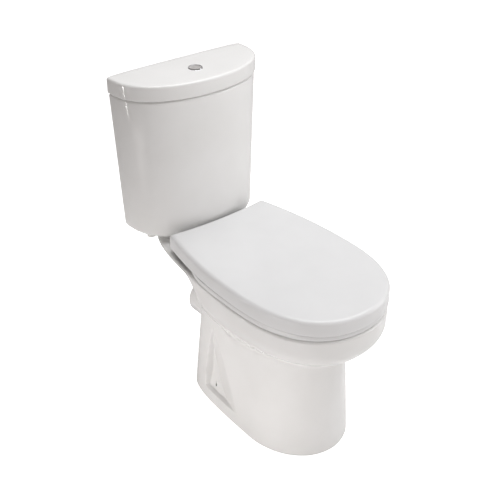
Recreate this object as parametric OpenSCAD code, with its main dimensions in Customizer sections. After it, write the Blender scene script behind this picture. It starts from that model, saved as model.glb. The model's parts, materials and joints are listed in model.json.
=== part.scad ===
// Close coupled toilet: a floor-standing pan, a cistern on its rear deck, and a seat with a
// wrap-over cover. +Z is up, +Y points to the wall, and the origin is on the floor at the
// middle of the plan. All sizes are in millimetres.

/* [Overall] */
// Depth from the back of the cistern lid to the front of the seat cover
total_d = 665; // [660:1:670]
// Height of the top of the cistern lid above the floor
total_h = 794; // [792:1:800]
// Width of the cistern lid, the widest piece
lid_w = 376; // [372:1:380]

/* [Pan] */
// Height of the pan rim above the floor
rim_h = 389; // [387:1:391]
// Width of the pan rim at its widest line
rim_w = 341; // [338:1:344]
// Width of the pedestal on the floor
foot_w = 256; // [250:1:260]
// Width of the pedestal just under the bowl
waist_w = 206; // [200:1:212]
// Thickness of the glazed ceramic walls
wall = 8; // [7:0.5:9]
// Height of the raised pad that the cistern stands over
pad_h = 9; // [8:1:10]
// Outer diameter of the outlet spigot
outlet_d = 102; // [100:1:104]
// Height of the centre of the outlet spigot
outlet_h = 180; // [178:1:184]
// Distance from the wall plane to the end of the outlet spigot
outlet_gap = 94; // [90:1:100]
// Diameter of the water way through the trap
trap_d = 54; // [52:1:56]
// Diameter of the two floor-fixing holes
floor_hole_d = 7; // [6:0.5:8]

/* [Cistern] */
// Height of the underside of the cistern
tank_z = 408; // [407:1:410]
// Height of the rounded shoulder at the top of the cistern body
shoulder_z = 756; // [753:1:756]
// Width of the cistern body at its underside
tank_foot_w = 340; // [334:1:344]
// Height of the lid, from the lower edge of its skirt to its top
lid_h = 37; // [36:1:38]
// How far the lid stands out over the cistern body
lid_over = 3.5; // [3:0.5:5]
// Distance between the two wall-fixing holes
wall_hole_pitch = 230; // [220:5:240]

/* [Seat] */
// Height of the top of the closed seat cover
seat_top_z = 441; // [440:1:442]
// Width of the seat cover
seat_w = 342; // [340:1:344]
// Depth of the skirt around the seat cover
cover_skirt = 37; // [35:1:38]
// Distance between the two hinge bolts
hinge_pitch = 155; // [150:1:160]
// Distance of the hinge line in front of the wall plane
hinge_gap = 179.5; // [179:0.5:181]
// Diameter of the hinge pins
pin_d = 8; // [7:0.5:8]

/* [Fittings] */
// Outer diameter of the chrome ring around the button
button_ring_d = 34; // [33.5:0.5:35]
// Diameter of the button
button_d = 28.5; // [27.5:0.5:29]
// Travel of the button
button_travel = 8; // [7:1:9]
// Outer diameter of the water inlet thread
inlet_d = 20.96; // [20.9:0.01:21]
// Distance of the fill valve from the middle of the cistern
fill_x = 124; // [122:1:126]

/* [Hidden] */
back_y = total_d / 2;
front_y = -total_d / 2;
deck_t = 14;
deck_under_z = rim_h - deck_t;
deck_z = rim_h + pad_h;
lid_z = total_h - lid_h;
valve_y = back_y - 85.5;
fill_y = back_y - 50.5;
hinge_y = back_y - hinge_gap;
hinge_z = rim_h + 39;
knuckle_r = 8;
fit = 0.05;
gap = 0.3;
sides = 40;
round_fn = 48;
small_fn = 32;

// An outline is [half width, y of the widest line, y of the front, y of the rear,
// front exponents in x and y, rear exponents in x and y].
foot = [foot_w / 2, -104, front_y + 75.5, 160, 2, 2, 8, 3];
waist = [waist_w / 2, -100, front_y + 83.5, 160, 2, 2, 5, 4.2];
rim = [rim_w / 2, -80, front_y + 1.5, 313, 2.15, 2.7, 4.5, 1.6];
pad = [110, 250, 225, 292, 4, 4, 3, 3];
opening = [128, -90, front_y + 44, 88, 2.2, 2.4, 2.2, 2.2];
lid_top = [lid_w / 2, back_y - 14.5, back_y - 158, back_y, 2, 2.7, 3.5, 3.5];
tank_top = [lid_w / 2 - lid_over, back_y - 14.5, back_y - 156.5, back_y - 1.5, 2, 2.7, 5, 5];
tank_foot = [tank_foot_w / 2, back_y - 14.5, back_y - 157.5, back_y - 1.5, 2, 2.7, 5, 5];
ring_out = [seat_w / 2 - 7.5, -80, front_y + 6, 127, 2.15, 2.7, 3.6, 3.6];
ring_flange = [seat_w / 2 - 1, -80, front_y + 3, 131, 2.15, 2.7, 3.6, 3.6];
ring_in = [112, -105, front_y + 70, 52, 2.1, 2.3, 2.1, 2.1];

// Crease between the pedestal and the bowl: lowest at the sides, higher at front and rear
crease_side = 213;
crease_front_rise = 42;
crease_rear_rise = 24;

// Bowl: [height, half width, y of the widest line, y of the front, y of the rear, rear exponent]
bowl_levels = [
    [343, 140, -88, front_y + 31, 98, 2.3],
    [300, 124, -80, -272, 94, 2.5],
    [262, 90, -66, -222, 86, 3],
    [215, 68, -44, -160, 72, 3.5],
    [160, 52, -14, -90, 62, 4],
    [112, 45, 6, -46, 58, 5],
    [50, 42, 8, -34, 57, 5]
];

trap_r = trap_d / 2;
trap_h = 77;
trap_bend = (outlet_h - trap_h) / 2;
trap_y = 64;
trap_end_y = trap_y + 2 * trap_bend;
spigot_end = back_y - outlet_gap;
spigot_start = 153;
collar_r = outlet_d / 2 + 5;
collar_end = 163;

// Side recess over a floor fixing: a ramp that goes in from the front, and a rear wall
recess_z = 34;
recess_top = 220;
recess_front_y = -50;
recess_rear_y = 85;
recess_apex_y = 68;
recess_slope = 0.226;
recess_lean = 0.46;
recess_clear = 20;
cavity_exp = 1.9;
floor_hole = [104, 52];

trap_wall_y = 61;
hinge_hole_r = 7;
coupling_hole_r = 5.5;
deck_hole_r = 42;
bolt_r = 4;

// Access opening under the rear deck, for the nuts
access_w = 172;
access_y = 172;
access_z = 296;
access_step = 0.5;
nut_z = deck_under_z + access_step;
access_h = nut_z - access_z;

// Cistern details
tank_floor = 12;
neck_z = lid_z + 11;
neck_in = lid_over + 11;
flush_hole_r = 31;
inlet_hole_r = 11.5;
wall_hole_r = 4;
wall_hole_z = 700;
coupling_x = 72;
lid_border = 26;
lid_under_z = total_h - 11;
lid_hole_r = 16;
lid_lug_x = 128;
lid_lug_t = 6;

// Seat details
ring_z = rim_h + 1.5;
flange_top_z = seat_top_z - cover_skirt - 0.5;
ring_top_z = seat_top_z - 23;
cover_t = 4;
cover_corner = [140, 177];
cover_back_y = 168;
cover_turn = 54;
cover_notch_x = 108;
post_w = 22;
buffer_r = 7;
ring_buffer_places = [[142, -70], [92, -270]];
cover_buffer_places = [[136, -40], [88, -252]];
lug_w = 12;
lug_gap = 1;
ring_lug_x = hinge_pitch / 2 - post_w / 2 - lug_gap - lug_w;
cover_lug_x = hinge_pitch / 2 + post_w / 2 + lug_gap;
bore_x = cover_lug_x + lug_w + 2;

// Button and valve details
sleeve_z = total_h - 22;
stem_r = 5;
flush_bore_r = 27;
valve_seat_z = tank_z + tank_floor + 10;
housing_z = 600;

// Fill valve details
shank_r = 10.2;
tail_drop = 25;
tail_len = 14;
riser_r = 9;
head_z = 640;
float_z = 520;
float_h = 90;
float_r = 30;
float_rod_x = 27 + 22;
rod_r = 1.6;
lever_x = 22;
lever_z = head_z + 44;
lever_len = float_rod_x - lever_x;
lever_w = 7.4;

// ---- Outlines and skins -------------------------------------------------------------------

function spow(v, e) = sign(v) * pow(abs(v), e);
function mix(a, b, f) = a * (1 - f) + b * f;
function clamp01(v) = max(0, min(1, v));
function smooth(v) = let (c = clamp01(v)) c * c * (3 - 2 * c);

// Point of an outline in direction t; its quarters meet on the widest line
function outline_pt(o, t) =
    let (rear = sin(t) > 0)
    let (p = rear ? o[6] : o[4])
    let (q = rear ? o[7] : o[5])
    let (reach = rear ? o[3] - o[1] : o[1] - o[2])
    [o[0] * spow(cos(t), 2 / p), o[1] + reach * spow(sin(t), 2 / q)];

// The same outline moved inwards by d; the widest line stays in front of the rear
function inset(o, d) =
    [o[0] - d, min(o[1], o[3] - d - 6), o[2] + d, o[3] - d, o[4], o[5], o[6], o[7]];

function ring_t(k) = -90 + 360 * k / sides;
function flat_ring(o, z) = [for (k = [0 : sides - 1]) concat(outline_pt(o, ring_t(k)), z)];

// Solid skin over a list of rings, from the first ring's cap to the last one's
module skin(rings, closed = false) {
    n = len(rings[0]);
    m = len(rings);
    points = [for (r = rings) each r];
    steps = closed ? m - 1 : m - 2;
    walls = [
        for (i = [0 : steps], j = [0 : n - 1])
            let (a = i * n + j, b = i * n + (j + 1) % n)
            let (c = (i + 1) % m * n + (j + 1) % n, d = (i + 1) % m * n + j)
            each [[a, d, c], [a, c, b]]
    ];
    caps = closed ? [] : [[for (j = [0 : n - 1]) j], [for (j = [n - 1 : -1 : 0]) (m - 1) * n + j]];
    polyhedron(points = points, faces = concat(walls, caps), convexity = 8);
}

// Tube of a given radius along a path of [position, direction] steps in the Y-Z plane
module yz_sweep(path, r, n = 20) {
    skin([
        for (s = path)
            [for (j = [0 : n - 1])
                let (a = 360 * j / n)
                [-r * cos(a), s[0][0] - r * sin(a) * sin(s[1]), s[0][1] + r * sin(a) * cos(s[1])]]
    ]);
}

module pipe(r_out, r_in, h) {
    difference() {
        cylinder(r = r_out, h = h, $fn = round_fn);
        translate([0, 0, -1]) cylinder(r = r_in, h = h + 2, $fn = round_fn);
    }
}

module mirror_x() {
    children();
    mirror([1, 0, 0]) children();
}

// ---- Pan ----------------------------------------------------------------------------------

// Height of the crease at a place y of the pedestal
function crease_z(y) =
    crease_side + crease_front_rise * smooth((-20 - y) / 199) + crease_rear_rise * smooth((y + 20) / 100);

// How far the wall has opened from waist to rim, at the fraction s of the bowl's height.
// The front and sides swell out early; under the rear deck the wall stays in, then flares.
function flare(t, s) =
    let (front = pow(sin(90 * min(1, s / (0.74 + 0.06 * min(0, sin(t))))), 2 + 0.7 * min(0, sin(t))))
    mix(front, pow(s, 3), smooth(sin(t) / 0.45));

function pan_waist_z(t) = crease_z(outline_pt(waist, t)[1]);

// Point of the pedestal's wall, f running from the floor to the crease
function pedestal_pt(t, f, d) =
    concat(outline_pt(inset(mix(foot, waist, f), d), t), mix(0, pan_waist_z(t), f));

// Point of the bowl's outer wall, s running from the crease to the rim
function bowl_wall_pt(t, s, d) =
    concat(outline_pt(inset(mix(waist, rim, flare(t, s)), d), t), mix(pan_waist_z(t), rim_h, s));

// The cavity is narrower at the rear, which leaves solid walls around the side recesses
function cavity_pt(t, f) =
    let (o = inset(mix(foot, waist, f), wall))
    concat(outline_pt([o[0], o[1], o[2], o[3], 2, 2, cavity_exp, cavity_exp], t), mix(0, pan_waist_z(t), f));

function bowl_outline(level) = [level[1], level[2], level[3], level[4], 2.1, 2.2, level[5], level[5]];
function bowl_ring(level, d) = flat_ring(inset(bowl_outline(level), d), level[0] - max(0, -d));

module pan_shell() {
    angles = [for (k = [0 : sides - 1]) ring_t(k)];
    last = len(bowl_levels) - 1;
    skin(concat(
        [for (i = [last : -1 : 0]) bowl_ring(bowl_levels[i], -wall)],
        [flat_ring(inset(opening, -wall - 4), deck_under_z)],
        [[for (t = angles) let (p = bowl_wall_pt(t, 0.9, wall)) [p[0], p[1], deck_under_z]]],
        [for (s = [0.75, 0.55, 0.35, 0.15]) [for (t = angles) bowl_wall_pt(t, s, wall)]],
        [for (f = [1, 0.6, 0]) [for (t = angles) cavity_pt(t, f)]],
        [for (f = [0, 0.35, 0.7, 1]) [for (t = angles) pedestal_pt(t, f, 0)]],
        [for (s = [0.08 : 0.08 : 0.88]) [for (t = angles) bowl_wall_pt(t, s, 0)]],
        [flat_ring(inset(rim, 0.5), rim_h - 6), flat_ring(inset(rim, 2.5), rim_h - 2)],
        [flat_ring(inset(rim, 7), rim_h)],
        [flat_ring(inset(opening, -6), rim_h), flat_ring(opening, rim_h - 6)],
        [flat_ring(opening, rim_h - 44)],
        [for (i = [0 : last]) bowl_ring(bowl_levels[i], 0)]
    ));
}

// The trap rises from the bowl in an S of two equal bends and meets the spigot
function trap_path(from, to) =
    let (turn = [for (a = [0 : 15 : 90]) a])
    concat(
        [[[from, trap_h], 0]],
        [for (a = turn) [[trap_y + trap_bend * sin(a), trap_h + trap_bend * (1 - cos(a))], a]],
        [for (a = [75 : -15 : 0])
            [[trap_y + 2 * trap_bend - trap_bend * sin(a), outlet_h - trap_bend * (1 - cos(a))], a]],
        [[[to, outlet_h], 0]]
    );

module along_y(y, z, r, h) {
    translate([0, y, z]) rotate([-90, 0, 0]) cylinder(r = r, h = h, $fn = round_fn);
}

// Half width of the pedestal at a place y behind its widest line and a height z
function pedestal_x(y, z) =
    let (o = mix(foot, waist, min(1, z / crease_z(y))))
    o[0] * pow(1 - pow((y - o[1]) / (o[3] - o[1]), o[7]), 1 / o[6]);

// Section of the recess at a height: the ramp starts on the skin and meets the rear wall inside
function recess_ring(z) =
    let (rise = (z - recess_z) / (recess_top - recess_z))
    let (front = mix(recess_front_y, recess_apex_y, pow(rise, 1.2)))
    let (rear = mix(recess_rear_y, recess_apex_y, pow(rise, 2.5)))
    let (depth = recess_slope * (rear - front) / (1 + recess_slope * recess_lean))
    let (inner = rear - recess_lean * depth, out_x = pedestal_x(rear, z) + recess_clear)
    [[pedestal_x(front, z) + gap, front, z], [out_x + recess_clear, front, z],
        [out_x, rear + recess_lean * recess_clear, z], [pedestal_x(inner, z) - depth, inner, z]];

module side_recess() {
    skin([for (rise = [0 : 0.2 : 0.8]) recess_ring(mix(recess_z, recess_top, rise)),
        recess_ring(recess_top - 1)]);
}

// Everything of the pan that is cast to a free shape, brought to the width of the rim
module pan_casting() {
    resize([rim_w, 0, 0]) difference() {
        union() {
            pan_shell();
            yz_sweep(trap_path(trap_wall_y, trap_end_y + 1), trap_r + wall);
            skin([
                flat_ring(pad, rim_h - 5),
                flat_ring(pad, deck_z - 3),
                flat_ring(inset(pad, 1), deck_z - 1),
                flat_ring(inset(pad, 3), deck_z)
            ]);
        }
        yz_sweep(trap_path(trap_y - 25, trap_end_y + 20), trap_r);
        mirror_x() side_recess();
        translate([-access_w / 2, access_y, access_z])
            cube([access_w, total_d, access_h]);
    }
}

module deck_holes(x, y, r) {
    mirror_x() translate([x, y, rim_h - 2 * deck_t]) cylinder(r = r, h = 4 * deck_t, $fn = small_fn);
}

module pan() {
    color("whitesmoke") difference() {
        union() {
            pan_casting();
            along_y(spigot_start, outlet_h, outlet_d / 2, spigot_end - spigot_start);
            along_y(spigot_start, outlet_h, collar_r, collar_end - spigot_start);
        }
        along_y(spigot_start + wall, outlet_h, outlet_d / 2 - wall, spigot_end);
        mirror_x() translate([floor_hole[0], floor_hole[1], -1])
            cylinder(d = floor_hole_d, h = recess_z + 3, $fn = small_fn);
        deck_holes(hinge_pitch / 2, hinge_y, hinge_hole_r);
        deck_holes(coupling_x, valve_y, coupling_hole_r);
        translate([0, valve_y, rim_h - 2 * deck_t])
            cylinder(r = deck_hole_r, h = 4 * deck_t, $fn = round_fn);
    }
}

// ---- Cistern ------------------------------------------------------------------------------

// Tank outline at a height, tapering towards the foot
function tank_outline(z) = mix(tank_foot, tank_top, clamp01((z - tank_z) / (shoulder_z - tank_z)));
function tank_ring(z, d) = flat_ring(inset(tank_outline(z), d), z);

module cistern_tank() {
    color("whitesmoke") difference() {
        skin(concat(
            [tank_ring(tank_z, 12), tank_ring(tank_z + 3.5, 3.5), tank_ring(tank_z + 12, 0)],
            [tank_ring(mix(tank_z, shoulder_z, 0.5), 0), tank_ring(shoulder_z - 7, 0)],
            [tank_ring(shoulder_z - 2, 2), tank_ring(shoulder_z, 7)],
            [lid_ring(shoulder_z + 0.5, neck_in), lid_ring(neck_z, neck_in)],
            [lid_ring(neck_z, neck_in + wall), lid_ring(shoulder_z - 3, neck_in + wall)],
            [tank_ring(shoulder_z - 12, wall + 1), tank_ring(tank_z + 24, wall + 2)],
            [tank_ring(tank_z + tank_floor, wall + 14)]
        ));
        translate([0, valve_y, tank_z - 1]) cylinder(r = flush_hole_r, h = 40, $fn = round_fn);
        translate([-fill_x, fill_y, tank_z - 1]) cylinder(r = inlet_hole_r, h = 40, $fn = small_fn);
        mirror_x() translate([wall_hole_pitch / 2, back_y - 40, wall_hole_z])
            rotate([-90, 0, 0]) cylinder(r = wall_hole_r, h = 60, $fn = small_fn);
    }
}

function lid_ring(z, d) = flat_ring(inset(lid_top, d), z);

module cistern_lid() {
    color("white") difference() {
        union() {
            skin(concat(
                [lid_ring(lid_under_z, lid_border + 2)],
                [lid_ring(neck_z + gap, lid_border), lid_ring(neck_z + gap, lid_over + 7)],
                [lid_ring(lid_z, lid_over + 6), lid_ring(lid_z, 3), lid_ring(lid_z + 3, 0)],
                [lid_ring(total_h - 6, 0), lid_ring(total_h - 2, 1.8), lid_ring(total_h, 6)]
            ));
            // Lugs that keep the lid from sliding off the neck
            mirror_x() translate([lid_lug_x, back_y - 80, lid_z - 4])
                cube([lid_lug_t, 50, lid_under_z - lid_z + 6]);
        }
        translate([0, valve_y, lid_z]) cylinder(r = lid_hole_r, h = 2 * lid_h, $fn = round_fn);
    }
}

// ---- Seat ---------------------------------------------------------------------------------

// Cover outline: the front follows the rim, the rear corners are square, the back edge is hollow
function cover_pt(t, d) =
    let (half = seat_w / 2 - d, corner_y = cover_corner[1] - d, corner_x = cover_corner[0] - d)
    let (a = t > 90 ? 180 - t : t, side = t > 90 ? -1 : 1)
    a <= 0
        ? outline_pt([seat_w / 2 - d, -80, front_y + d, 0, 2.15, 2.7, 2, 2], t)
        : a < cover_turn
            ? let (f = a / cover_turn)
              [side * (half - (half - corner_x) * f * f), mix(-80, corner_y, f)]
            : let (f = (90 - a) / (90 - cover_turn))
              [side * corner_x * f, mix(cover_back_y - d, corner_y, f * f)];

function cover_ring(z, d) = [for (k = [0 : sides - 1]) concat(cover_pt(ring_t(k), d), z)];

module lug(x, w, y0, z0) {
    translate([x, hinge_y, hinge_z]) rotate([0, 90, 0]) cylinder(r = knuckle_r, h = w, $fn = small_fn);
    translate([x, y0, z0]) cube([w, hinge_y - y0, hinge_z + knuckle_r - z0]);
}

module hinge_bore() {
    translate([-bore_x, hinge_y, hinge_z]) rotate([0, 90, 0])
        cylinder(r = pin_d / 2 + fit, h = 2 * bore_x, $fn = small_fn);
}

module seat_ring() {
    color("white") difference() {
        union() {
            skin([
                flat_ring(inset(ring_flange, 3), ring_z),
                flat_ring(ring_flange, ring_z + 3),
                flat_ring(ring_flange, flange_top_z - 1.5),
                flat_ring(inset(ring_flange, 1.5), flange_top_z),
                flat_ring(ring_out, flange_top_z),
                flat_ring(inset(ring_out, 1), ring_top_z - 7),
                flat_ring(inset(ring_out, 8), ring_top_z),
                flat_ring(inset(ring_in, -14), ring_top_z),
                flat_ring(inset(ring_in, -3), ring_top_z - 5),
                flat_ring(inset(ring_in, 0), ring_top_z - 14),
                flat_ring(inset(ring_in, -5), ring_z)
            ], closed = true);
            mirror_x() lug(ring_lug_x, lug_w, ring_out[3] - 8, ring_top_z - 12);
        }
        hinge_bore();
    }
}

module seat_cover() {
    color("white") difference() {
        union() {
            skin([
                cover_ring(seat_top_z - cover_t, 9),
                cover_ring(seat_top_z - 10, cover_t),
                cover_ring(seat_top_z - cover_skirt, cover_t - 1),
                cover_ring(seat_top_z - cover_skirt, 1),
                cover_ring(seat_top_z - cover_skirt + 4, 0),
                cover_ring(seat_top_z - 10, 0.4),
                cover_ring(seat_top_z - 4.5, 2.5),
                cover_ring(seat_top_z - 1.5, 6),
                cover_ring(seat_top_z, 11)
            ]);
            mirror_x() translate([cover_lug_x, 0, 0]) cover_lug();
        }
        // The back edge has no skirt between the corners, so that it swings clear of the posts
        difference() {
            translate([-cover_notch_x, hinge_y - 5, seat_top_z - cover_skirt - 1])
                cube([2 * cover_notch_x, 40, cover_skirt - cover_t + 1]);
            mirror_x() translate([cover_lug_x - 0.01, 0, 0]) cover_lug();
        }
        hinge_bore();
    }
}

module cover_lug() {
    translate([0, hinge_y, hinge_z]) rotate([0, 90, 0])
        cylinder(r = knuckle_r, h = lug_w, $fn = small_fn);
    translate([0, hinge_y - knuckle_r, hinge_z]) cube([lug_w, 2 * knuckle_r, seat_top_z - hinge_z - 2]);
}

// Hinge post: a foot on the deck, a column, and the knuckle that holds the pin
module hinge_post() {
    difference() {
        union() {
            cylinder(r = 17, h = 4, $fn = round_fn);
            cylinder(r = 7, h = hinge_z - rim_h, $fn = small_fn);
            translate([-post_w / 2, 0, hinge_z - rim_h]) rotate([0, 90, 0])
                cylinder(r = knuckle_r, h = post_w, $fn = small_fn);
        }
        translate([-post_w, 0, hinge_z - rim_h]) rotate([0, 90, 0])
            cylinder(r = pin_d / 2, h = 2 * post_w, $fn = small_fn);
        translate([0, 0, -1]) cylinder(r = bolt_r, h = 17, $fn = small_fn);
    }
}

module hinge_post_left() {
    color("silver") translate([-hinge_pitch / 2, hinge_y, rim_h]) hinge_post();
}

module hinge_post_right() {
    color("silver") translate([hinge_pitch / 2, hinge_y, rim_h]) hinge_post();
}

module hinge_pins() {
    color("silver") mirror_x() translate([ring_lug_x, hinge_y, hinge_z])
        rotate([0, 90, 0]) cylinder(r = pin_d / 2, h = cover_lug_x + lug_w - ring_lug_x, $fn = small_fn);
}

module hinge_bolts() {
    color("silver") mirror_x() translate([hinge_pitch / 2, hinge_y, rim_h - 52])
        cylinder(r = bolt_r, h = 68, $fn = small_fn);
}

module hinge_washers() {
    color("dimgray") mirror_x() translate([hinge_pitch / 2, hinge_y, deck_under_z - 3])
        pipe(12, bolt_r, 3);
}

// Wing nut: a round hub with two flat wings
module wing_nut() {
    difference() {
        union() {
            cylinder(r = 7.5, h = 9, $fn = small_fn);
            translate([-18, -1.5, 0]) cube([36, 3, 14]);
        }
        translate([0, 0, -1]) cylinder(r = bolt_r, h = 20, $fn = small_fn);
    }
}

module hinge_wing_nuts() {
    color("silver") mirror_x() translate([hinge_pitch / 2, hinge_y, deck_under_z - 3])
        rotate([180, 0, 0]) wing_nut();
}

module ring_buffers() {
    color("gainsboro") mirror_x() for (p = ring_buffer_places)
        translate([p[0], p[1], rim_h]) cylinder(r = buffer_r, h = ring_z - rim_h, $fn = small_fn);
}

module cover_buffers() {
    color("gainsboro") mirror_x() for (p = cover_buffer_places)
        translate([p[0], p[1], ring_top_z + gap])
            cylinder(r = buffer_r, h = seat_top_z - cover_t - ring_top_z - gap, $fn = small_fn);
}

// ---- Push button --------------------------------------------------------------------------

module button_ring() {
    color("silver") translate([0, valve_y, 0]) difference() {
        union() {
            translate([0, 0, total_h]) cylinder(d1 = button_ring_d, d2 = button_ring_d - 2, h = 2,
                $fn = round_fn);
            translate([0, 0, sleeve_z]) cylinder(r = lid_hole_r - 0.2, h = total_h - sleeve_z,
                $fn = round_fn);
        }
        translate([0, 0, sleeve_z + 3]) cylinder(r = button_d / 2 + 0.1, h = lid_h, $fn = round_fn);
        translate([0, 0, sleeve_z - 1]) cylinder(r = stem_r + 0.1, h = lid_h, $fn = small_fn);
    }
}

module button_disc() {
    color("lightgray") translate([0, valve_y, 0]) {
        translate([0, 0, total_h - 3]) cylinder(d = button_d, h = 4, $fn = round_fn);
        translate([0, 0, sleeve_z - 4]) cylinder(r = stem_r, h = total_h - sleeve_z + 2, $fn = small_fn);
    }
}

module button_nut() {
    color("white") translate([0, valve_y, lid_under_z - 6]) pipe(25, lid_hole_r - 0.2, 6);
}

// Return spring, drawn at the length that it has when the button is down
module button_spring() {
    turns = 4;
    steps = 12 * turns;
    wire_r = 0.7;
    coil_r = stem_r + 2.5;
    rise = total_h - 3 - button_travel - sleeve_z - 3 - 2 * wire_r - 0.6;
    color("silver") translate([0, valve_y, total_h - 3 - rise - wire_r - 0.1])
        skin([
            for (i = [0 : steps])
                let (a = 360 * turns * i / steps)
                [for (j = [0 : 5])
                    let (b = 60 * j, r = coil_r + wire_r * cos(b))
                    [r * cos(a), r * sin(a), rise * i / steps - wire_r * sin(b)]]
        ]);
}

module push_rod() {
    color("silver") translate([0, valve_y, housing_z + 25])
        cylinder(r = 2.5, h = sleeve_z - 4 - housing_z - 25, $fn = small_fn);
}

// ---- Flush valve --------------------------------------------------------------------------

module flush_valve_base() {
    color("lightsteelblue") translate([0, valve_y, 0]) difference() {
        union() {
            translate([0, 0, valve_seat_z - 7]) cylinder(r = 40, h = 7, $fn = round_fn);
            translate([0, 0, tank_z - 24]) cylinder(r = flush_hole_r - 1, h = valve_seat_z - tank_z + 20,
                $fn = round_fn);
        }
        translate([0, 0, tank_z - 30]) cylinder(r = flush_bore_r, h = 90, $fn = round_fn);
    }
}

// Cage of four columns that carries the housing over the lift tube
module flush_valve_cage() {
    cage_r = 34;
    color("steelblue") translate([0, valve_y, valve_seat_z]) {
        pipe(39, 32.5, 5);
        for (a = [45 : 90 : 315])
            rotate(a) translate([cage_r - 2, -3, 0]) cube([5, 6, housing_z - valve_seat_z + 2]);
        translate([0, 0, housing_z - valve_seat_z]) difference() {
            cylinder(r = 38, h = 30, $fn = round_fn);
            translate([0, 0, -1]) cylinder(r = 34, h = 27, $fn = round_fn);
            cylinder(r = 4, h = 40, $fn = small_fn);
        }
    }
}

module flush_lift_tube() {
    color("white") translate([0, valve_y, valve_seat_z + 3]) {
        pipe(14, 12, housing_z - valve_seat_z - 8);
        pipe(28, 13, 5);
    }
}

module flush_seal() {
    color("dimgray") translate([0, valve_y, valve_seat_z]) pipe(29, 13, 3);
}

module flush_tank_washer() {
    color("dimgray") translate([0, valve_y, tank_z + tank_floor]) pipe(38, flush_hole_r - 1, 3);
}

module flush_back_nut() {
    color("white") translate([0, valve_y, tank_z - 22]) difference() {
        cylinder(r = 38, h = 15, $fn = 8);
        translate([0, 0, -1]) cylinder(r = flush_hole_r - 1, h = 20, $fn = round_fn);
    }
}

module doughnut_washer() {
    color("dimgray") translate([0, valve_y, deck_z]) pipe(52, 38.5, tank_z - 5.5 - deck_z);
}

module coupling_plate() {
    color("silver") translate([0, valve_y, tank_z - 5.5]) difference() {
        translate([-90, -36, 0]) cube([180, 72, 2.5]);
        translate([0, 0, -1]) cylinder(r = flush_hole_r - 1, h = 5, $fn = round_fn);
        mirror_x() translate([coupling_x, 0, -1]) cylinder(r = bolt_r, h = 5, $fn = small_fn);
    }
}

module coupling_bolts() {
    color("silver") mirror_x() translate([coupling_x, valve_y, 0]) {
        translate([0, 0, tank_z - 3]) cylinder(r = 7, h = 2.7, $fn = 6);
        translate([0, 0, rim_h - 44]) cylinder(r = bolt_r, h = tank_z - 2 - rim_h + 44, $fn = small_fn);
    }
}

module coupling_washers() {
    color("dimgray") mirror_x() translate([coupling_x, valve_y, nut_z - 3])
        pipe(11, bolt_r, 3);
}

module coupling_wing_nuts() {
    color("silver") mirror_x() translate([coupling_x, valve_y, nut_z - 3])
        rotate([180, 0, 90]) wing_nut();
}

// ---- Fill valve ---------------------------------------------------------------------------

module at_fill(z) {
    translate([-fill_x, fill_y, z]) children();
}

module fill_valve_shank() {
    color("white") at_fill(0) difference() {
        union() {
            translate([0, 0, tank_z - tail_drop]) cylinder(d = inlet_d, h = tail_len, $fn = small_fn);
            translate([0, 0, tank_z - tail_drop]) cylinder(r = shank_r, h = tail_drop + tank_floor + 4,
                $fn = small_fn);
            translate([0, 0, tank_z + tank_floor + 2]) cylinder(r = 16, h = 4, $fn = small_fn);
            translate([0, 0, tank_z + tank_floor + 6]) cylinder(r = 12, h = 12, $fn = small_fn);
        }
        translate([0, 0, tank_z - tail_drop - 1]) cylinder(r = 6, h = 80, $fn = small_fn);
    }
}

module fill_washer() {
    color("dimgray") at_fill(tank_z + tank_floor) pipe(15.5, shank_r, 2);
}

module fill_back_nut() {
    color("white") at_fill(tank_z - 8) difference() {
        cylinder(r = 16, h = 8, $fn = 6);
        translate([0, 0, -1]) cylinder(r = shank_r, h = 10, $fn = small_fn);
    }
}

module fill_riser() {
    color("white") at_fill(tank_z + tank_floor + 18) pipe(riser_r, 6, head_z - tank_z - tank_floor - 18);
}

module fill_valve_head() {
    color("steelblue") at_fill(head_z) difference() {
        union() {
            cylinder(r = 17, h = 40, $fn = small_fn);
            // Two ears that hold the lever pin
            for (y = [-8, 4]) translate([10, y, 30]) cube([16, 4, 20]);
        }
        lever_pin_hole(1.5);
    }
}

module lever_pin_hole(r) {
    translate([lever_x, -20, lever_z - head_z]) rotate([-90, 0, 0]) cylinder(r = r, h = 40, $fn = small_fn);
}

// Float: an open cup turned upside down that slides on the riser
module float_cup() {
    color("lightgray") at_fill(float_z) difference() {
        union() {
            cylinder(r = float_r, h = float_h, $fn = round_fn);
            translate([float_r - 8, -5, float_h - 4]) cube([float_rod_x - float_r + 13, 10, 8]);
        }
        translate([0, 0, -1]) cylinder(r = float_r - 2.5, h = float_h - 3, $fn = round_fn);
        translate([0, 0, -1]) cylinder(r = riser_r + 0.5, h = float_h + 8, $fn = small_fn);
        translate([float_rod_x, 0, float_h - 9]) cylinder(r = rod_r, h = 16, $fn = small_fn);
    }
}

// Adjusting rod with a collar under the lever and a nut over it
module float_rod() {
    color("white") at_fill(0) translate([float_rod_x, 0, 0]) {
        translate([0, 0, float_z + float_h - 4]) cylinder(r = rod_r,
            h = lever_z + 20 - float_z - float_h, $fn = small_fn);
        translate([0, 0, lever_z - 7.5]) cylinder(r = 4, h = 3, $fn = small_fn);
        translate([0, 0, lever_z + 4.5]) cylinder(r = 4, h = 3, $fn = 6);
    }
}

module valve_lever() {
    color("white") at_fill(head_z) difference() {
        union() {
            translate([lever_x, -lever_w / 2, lever_z - head_z]) rotate([-90, 0, 0])
                cylinder(r = 3.5, h = lever_w, $fn = small_fn);
            translate([lever_x, -lever_w / 2, lever_z - head_z - 1.2]) cube([lever_len + 8, lever_w, 2.4]);
        }
        lever_pin_hole(1.5 + fit);
        translate([float_rod_x - 3.6, -rod_r - 0.6, 0]) cube([9.4, 2 * rod_r + 1.2, 60]);
    }
}

module lever_pin() {
    color("silver") at_fill(head_z) translate([lever_x, -9, lever_z - head_z])
        rotate([-90, 0, 0]) cylinder(r = 1.5, h = 18, $fn = small_fn);
}

// ---- Assembly -----------------------------------------------------------------------------

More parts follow.
